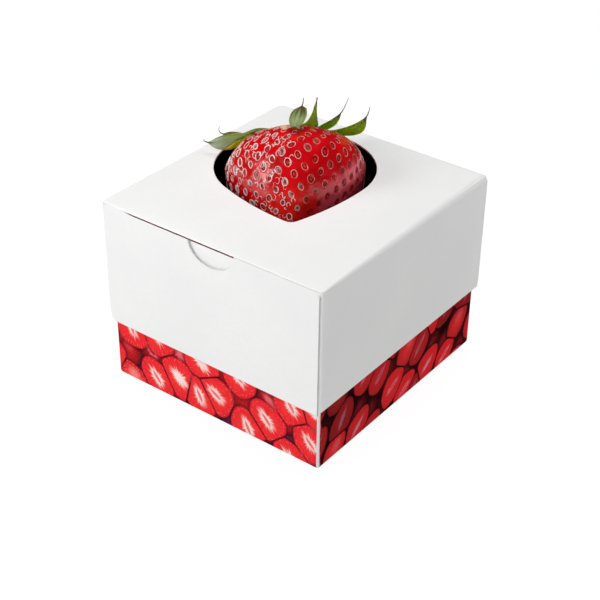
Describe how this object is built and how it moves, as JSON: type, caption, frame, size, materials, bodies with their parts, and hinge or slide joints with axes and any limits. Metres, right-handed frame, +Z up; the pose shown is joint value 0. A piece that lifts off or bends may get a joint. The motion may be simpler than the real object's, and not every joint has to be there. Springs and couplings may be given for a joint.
{
  "type": "strawberry gift box",
  "caption": "Shut two-piece gift box, white card lid over a berry-print tray, with one large strawberry standing up through an egg-shaped window in the lid.",
  "frame": {"origin": "centre of the tray's underside, on the surface the box stands on", "axes": "+Z up; +X across the lid's shorter side; +Y along its longer side, away from the wall with the thumb notch"},
  "size_m": [0.085, 0.09, 0.0885],
  "materials": {
    "printed_card": "satin printed card, a dense print of cut strawberries in reds and dark maroon",
    "black_insert": "matt black foam",
    "white_card": "smooth white card with a kraft core that shows at cut edges",
    "fruit_skin": "glossy red fruit skin with pale seeds in dimples",
    "green_leaf": "soft matt green sepals with dry brown tips"
  },
  "bodies": {
    "root": {"tray": "printed_card", "insert": "black_insert", "lid": "white_card", "strawberry": "fruit_skin", "calyx": "green_leaf"}
  },
  "joints": []
}
